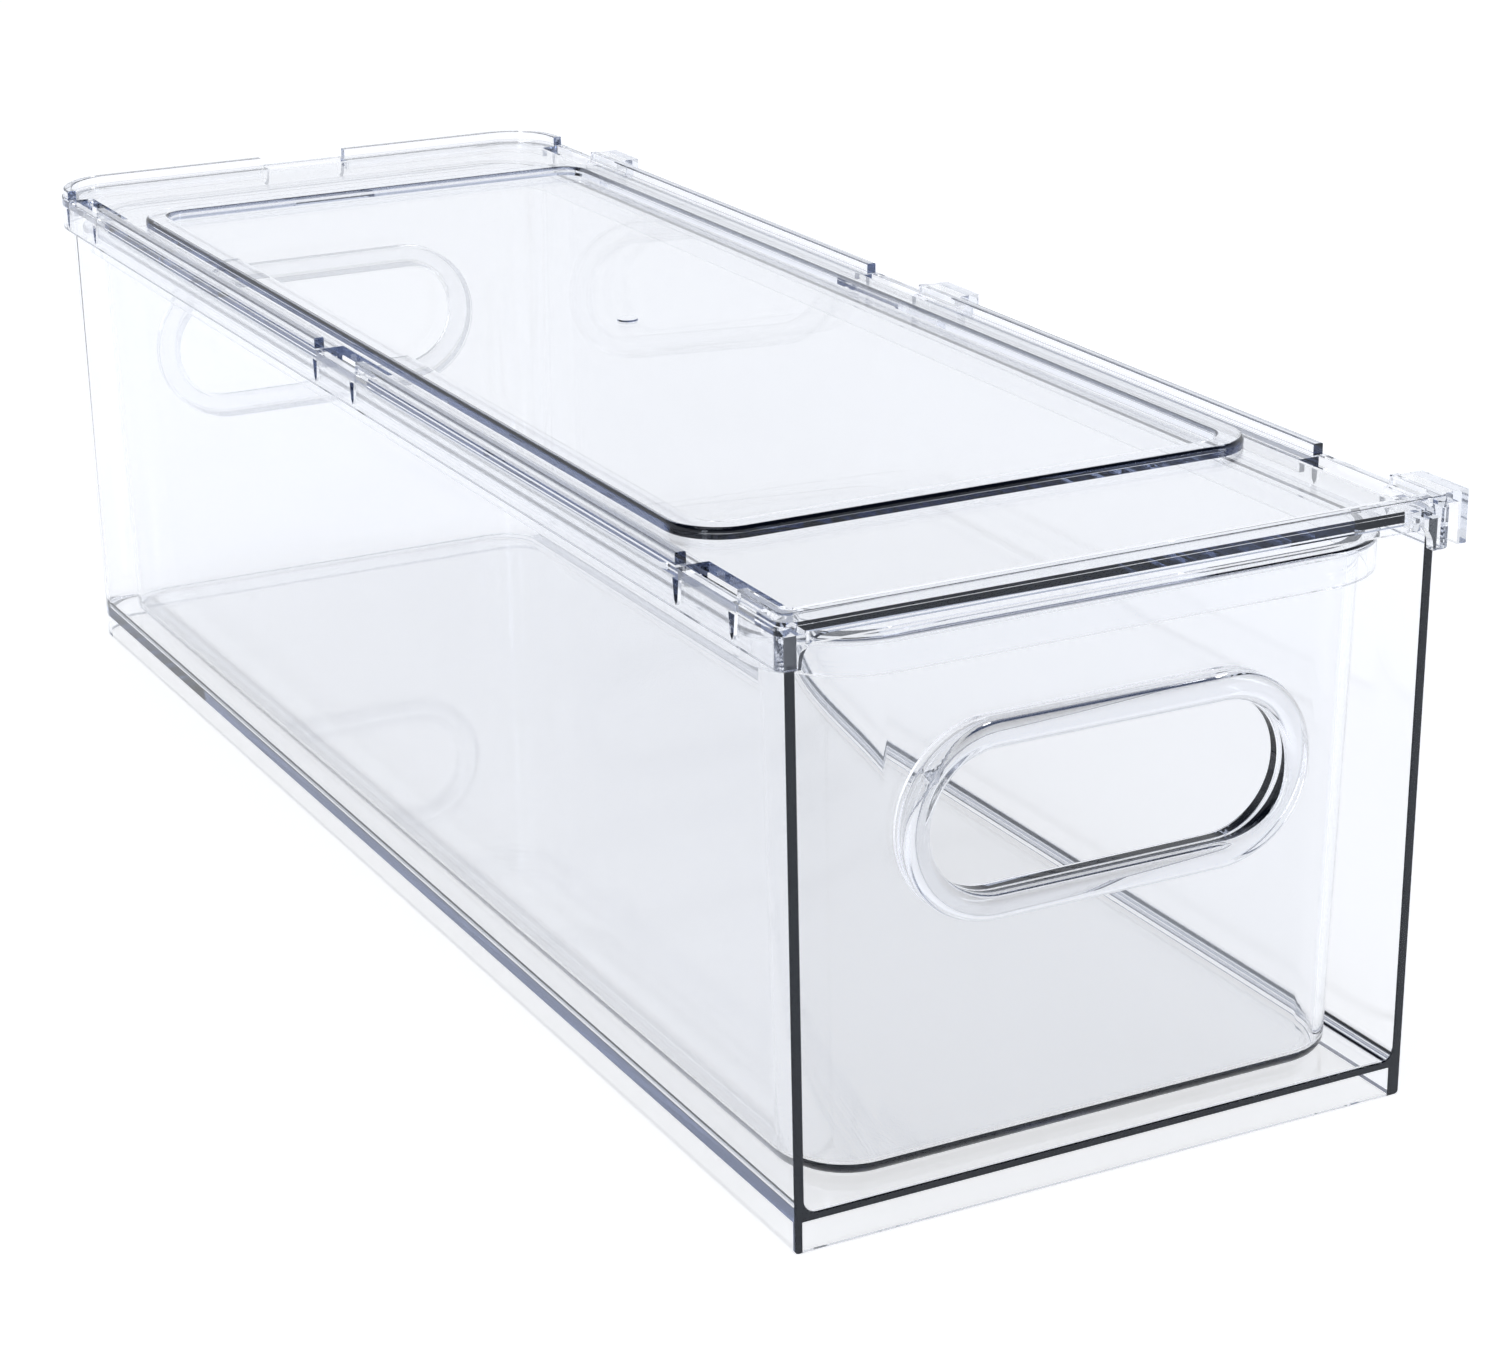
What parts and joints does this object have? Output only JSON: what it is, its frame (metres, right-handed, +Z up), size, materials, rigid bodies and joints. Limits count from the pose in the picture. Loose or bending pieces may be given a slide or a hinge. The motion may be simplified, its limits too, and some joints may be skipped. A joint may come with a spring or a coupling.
{
  "type": "fridge bin",
  "caption": "Clear plastic stackable fridge bin: an open-fronted case with a clip-on rimmed lid and a pull-out drawer with a finger slot in each end.",
  "frame": {"origin": "on the surface the bin stands on, midway along the case's foot in width and depth", "axes": "+X to the right as seen from the open front, -Y out of the open front, +Z up"},
  "size_m": [0.1367, 0.3825, 0.1152],
  "materials": {
    "outer_case": "clear polished injection-moulded plastic",
    "lid": "clear polished injection-moulded plastic",
    "drawer": "clear polished injection-moulded plastic"
  },
  "bodies": {
    "case": {"outer_case": "outer_case"},
    "lid": {"lid": "lid"},
    "drawer": {"drawer": "drawer"}
  },
  "joints": [
    {"name": "drawer_slide", "type": "slide", "parent": "case", "child": "drawer", "axis": [0, -1, 0], "range_m": [0, 0.3]},
    {"name": "lid_lift", "type": "slide", "parent": "case", "child": "lid", "axis": [0, 0, 1], "range_m": [0, 0.06]}
  ]
}
